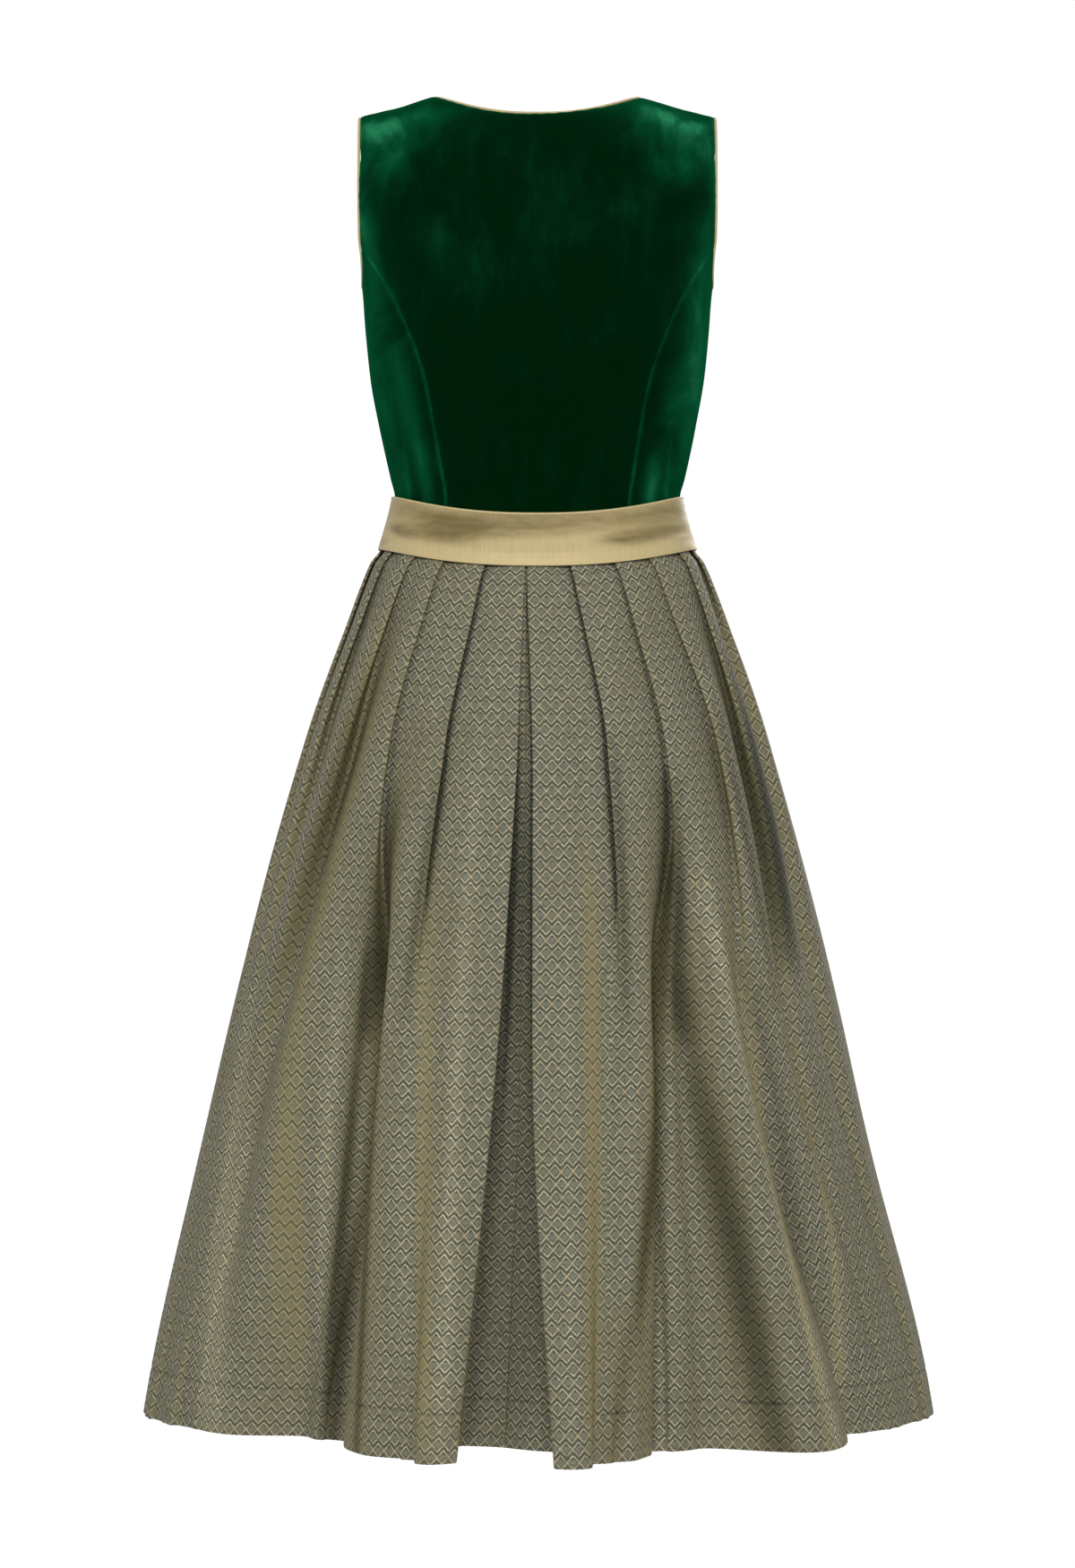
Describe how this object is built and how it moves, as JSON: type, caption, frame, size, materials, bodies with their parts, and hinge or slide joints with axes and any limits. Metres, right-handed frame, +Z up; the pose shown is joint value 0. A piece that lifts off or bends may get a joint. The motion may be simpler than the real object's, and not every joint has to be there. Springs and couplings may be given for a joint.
{
  "type": "dirndl dress",
  "caption": "Sleeveless folk dress worn as a hollow shell: velvet bodice with piping, satin waistband and a long pleated skirt.",
  "frame": {"origin": "midway between the shoulders, at the height of the inside of the shoulder straps, where the wearer holds the dress up", "axes": "+Z up along the wearer; the wearer faces +Y, so the back of the dress faces -Y; +X is the wearer's right, which is the right-hand side seen from behind"},
  "size_m": [0.7481, 0.6239, 1.2458],
  "materials": {
    "velvet": "dark bottle green cotton velvet with a short pile",
    "satin": "beige gold satin, soft sheen",
    "jacquard": "jacquard weave of small arched diamonds in beige, olive and grey teal",
    "piping": "beige piping cord in satin"
  },
  "bodies": {
    "root": {"back_centre": "velvet", "back_side_left": "velvet", "back_side_right": "velvet", "front_side_left": "velvet", "front_side_right": "velvet", "front_centre_left": "velvet", "front_centre_right": "velvet", "neck_piping": "piping", "armhole_piping_left": "piping", "armhole_piping_right": "piping", "waistband_back": "satin", "waistband_front": "satin", "skirt_back_left": "jacquard", "skirt_back_right": "jacquard", "skirt_front": "jacquard"}
  },
  "joints": []
}
